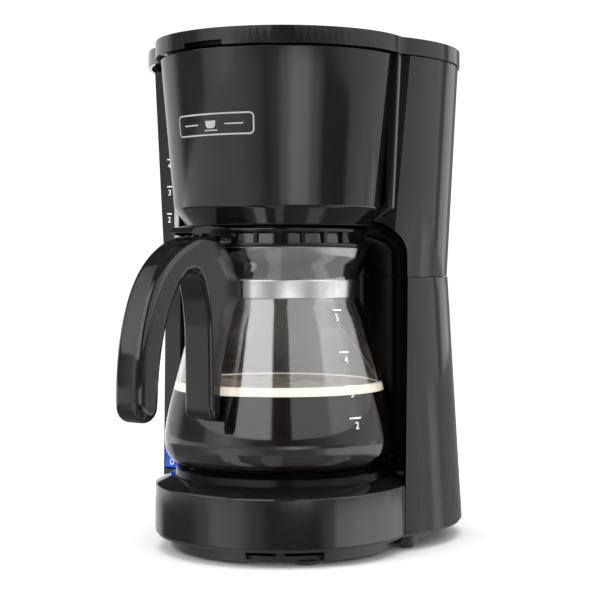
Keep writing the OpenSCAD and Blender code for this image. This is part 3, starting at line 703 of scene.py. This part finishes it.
# %% Switch
piece("rocker", cad_copy("switch_rocker"), blue_lit, "switch", ["switch_rocker"], bevel=0.8)

# %% [markdown]
# Printed marks start as flat drawings in millimetres: a digit from the built-in font, a bar, or a
# closed line of some width. An image could carry them, but a mesh stays sharp at any distance.

# %% Flat drawings
FONT_RATIO = 1.4
LONG_SIDE = 6


def digit(sign, height):
    """Outline letter shapes of the built-in font as a flat bmesh, centred, in metres."""
    curve = bpy.data.curves.new("sign", "FONT")
    curve.body = sign
    curve.size = height * MM * FONT_RATIO
    curve.resolution_u = 5
    holder = bpy.data.objects.new("sign", curve)
    bm = bmesh.new()
    bm.from_mesh(holder.to_mesh())
    bpy.data.objects.remove(holder)
    bpy.data.curves.remove(curve)
    bmesh.ops.remove_doubles(bm, verts=bm.verts, dist=1e-6)
    xs, ys = [v.co.x for v in bm.verts], [v.co.y for v in bm.verts]
    bmesh.ops.translate(bm, verts=bm.verts, vec=(-(min(xs) + max(xs)) / 2, -(min(ys) + max(ys)) / 2, 0))
    return bm


def bar(width, height, cuts=6):
    """A flat bar, cut across so it can bend round a surface."""
    bm = bmesh.new()
    bmesh.ops.create_grid(bm, x_segments=cuts, y_segments=1, size=0.5)
    bmesh.ops.scale(bm, verts=bm.verts, vec=(width * MM, height * MM, 1))
    return bm


def loop(points, width, cuts=10, rounds=None):
    """A closed line of some width, in the flat, from its outer corners."""
    bm = bmesh.new()
    verts = [bm.verts.new((x * MM, y * MM, 0)) for x, y in points]
    bm.faces.new(verts)
    if rounds:
        bmesh.ops.bevel(bm, geom=bm.verts[:], offset=rounds * MM, affect="VERTICES", segments=6, profile=0.5,
                        material=-1)
    long_edges = [e for e in bm.edges if e.calc_length() > LONG_SIDE * MM]
    if long_edges:
        bmesh.ops.subdivide_edges(bm, edges=long_edges, cuts=cuts)
    face = bm.faces[:][0]
    bmesh.ops.inset_individual(bm, faces=[face], thickness=width * MM, use_even_offset=True)
    bmesh.ops.delete(bm, geom=[face], context="FACES")
    return bm


def shift(bm, x, y):
    """Moves a flat drawing by millimetres."""
    bmesh.ops.translate(bm, verts=bm.verts, vec=(x * MM, y * MM, 0))
    return bm


print("flat drawings: digit, bar, loop")

# %% [markdown]
# A drawing is then laid on its surface: each point is shot at the surface from outside, and stays
# where it hits, a hair above it. A Shrinkwrap modifier does the same; shooting in code lets one
# helper print both on flat faces and round a curved wall. Solidify gives the ink its thickness.

# %% Printing on a surface
SHOOT_FROM = 0.2
INK = 0.15


def print_on(name, drawings, surface, centre, bearing, body, material, lift=0.05, axis=None, reach=None):
    """Lays flat drawings on a surface: round an axis when one is given, otherwise straight on from the front."""
    tree = BVHTree.FromBMesh(surface)
    whole = bmesh.new()
    for drawing in drawings:
        mesh = bpy.data.meshes.new("drawing")
        drawing.to_mesh(mesh)
        whole.from_mesh(mesh)
        drawing.free()
        bpy.data.meshes.remove(mesh)
    bmesh.ops.triangulate(whole, faces=[f for f in whole.faces if len(f.verts) > 4])
    for vert in whole.verts:
        u, v = vert.co.x, vert.co.y
        if axis is not None:
            angle = math.radians(bearing) + u / (reach * MM)
            outward = Vector((math.sin(angle), -math.cos(angle), 0))
            start = axis + outward * SHOOT_FROM
            start.z = centre[2] * MM + v
        else:
            outward = Vector((0, -1, 0))
            start = Vector((centre[0] * MM + u, -SHOOT_FROM, centre[2] * MM + v))
        place = tree.ray_cast(start, -outward)[0]
        vert.co = place + outward * (lift + INK) * MM
    bmesh.ops.recalc_face_normals(whole, faces=whole.faces)
    facing = sum(f.normal.dot(outward) * f.calc_area() for f in whole.faces)
    if facing < 0:
        bmesh.ops.reverse_faces(whole, faces=whole.faces)
    surface.free()
    return piece(name, whole, material, body, crease=50, wall=INK)


print("printing on a surface: ink", INK, "mm")

# %% [markdown]
# The scales count cups: one on the glass, where coffee is read, and one beside the water window,
# where water is filled. Each mark is a bar with its number just below it.

# %% Scales
GLASS_SCALE = {"5": (131.3, -1.2), "4": (109.3, 0.6), "3": (91.6, 0.6), "2": (75.2, 0.6)}
GLASS_BEARING, GLASS_REACH, GLASS_MIDDLE, GLASS_DIGIT = 78, 55, 100, 3.8
WINDOW_SCALE = {"5": 232.2, "4": 216.4, "3": 200.6, "2": 184.8}
WINDOW_X, WINDOW_MIDDLE, WINDOW_DIGIT = -60, 200, 3.4
marks = []
for sign, (level, aside) in GLASS_SCALE.items():
    height = level - GLASS_MIDDLE
    marks += [shift(bar(7.2, 0.75), 0, height), shift(digit(sign, GLASS_DIGIT), aside, height - GLASS_DIGIT)]
print_on("carafe_scale", marks, cad_copy("carafe_glass", flat=0), (0, 0, GLASS_MIDDLE), GLASS_BEARING, "carafe",
         print_white_painted_glow, axis=carafe_axis, reach=GLASS_REACH, lift=0.3)
marks = []
for sign, level in WINDOW_SCALE.items():
    height = level - WINDOW_MIDDLE
    marks += [shift(bar(3.6, 0.6), 0, height), shift(digit(sign, WINDOW_DIGIT), 0, height - WINDOW_DIGIT)]
print_on("window_scale", marks, cad_copy("upper_housing", flat=0), (WINDOW_X, 0, WINDOW_MIDDLE), 0, "machine",
         print_white_painted_glow)

# %% [markdown]
# The ring on the rocker is a narrow oval, cut from a disc by an inset whose middle is deleted.

# %% Switch ring
RING_RADIUS, RING_LINE, RING_SQUEEZE = 1.75, 0.42, 0.8
RING_PLACE = (-57.6, 0, 40.9)
ring = bmesh.new()
bmesh.ops.create_circle(ring, cap_ends=True, segments=32, radius=RING_RADIUS * MM)
bmesh.ops.scale(ring, verts=ring.verts, vec=(RING_SQUEEZE, 1, 1))
face = ring.faces[:][0]
bmesh.ops.inset_individual(ring, faces=[face], thickness=RING_LINE * MM)
bmesh.ops.delete(ring, geom=[face], context="FACES")
print_on("switch_ring", [ring], cad_copy("switch_rocker", flat=0), RING_PLACE, 0, "switch", print_white_painted_glow)

# %% [markdown]
# The front badge is a plain outline with rounded corners, a small cup on a saucer, and a bar on
# each side. It has no lettering. It is drawn flat and printed round the cone.

# %% Badge
BADGE_BEARING, BADGE_REACH, BADGE_HEIGHT = 1.0, 63.5, 228.5
CUP_LINE = ((-3.4, 1.9), (-3.0, -0.9), (-1.9, -2.0), (1.9, -2.0), (3.0, -0.9), (3.4, 1.9))
frame_line = loop([(-25.6, -5.8), (25.6, -5.8), (25.6, 5.8), (-25.6, 5.8)], 0.8, cuts=18, rounds=2.6)
cup = bmesh.new()
cup.faces.new([cup.verts.new((x * MM, y * MM, 0)) for x, y in CUP_LINE])
cup_ear = loop([(3.1, 1.4), (5.2, 1.2), (5.3, -0.2), (3.0, -0.9)], 0.5)
saucer = shift(bar(8.6, 0.6), 0.2, -3.1)
side_bars = [shift(bar(11, 0.7, 8), -14.2, 0), shift(bar(11, 0.7, 8), 14.2, 0)]
print_on("badge", [frame_line, cup, cup_ear, saucer, *side_bars], cad_copy("brew_cone", flat=0), (0, 0, BADGE_HEIGHT),
         BADGE_BEARING, "machine", badge_grey, axis=cone_axis, reach=BADGE_REACH)
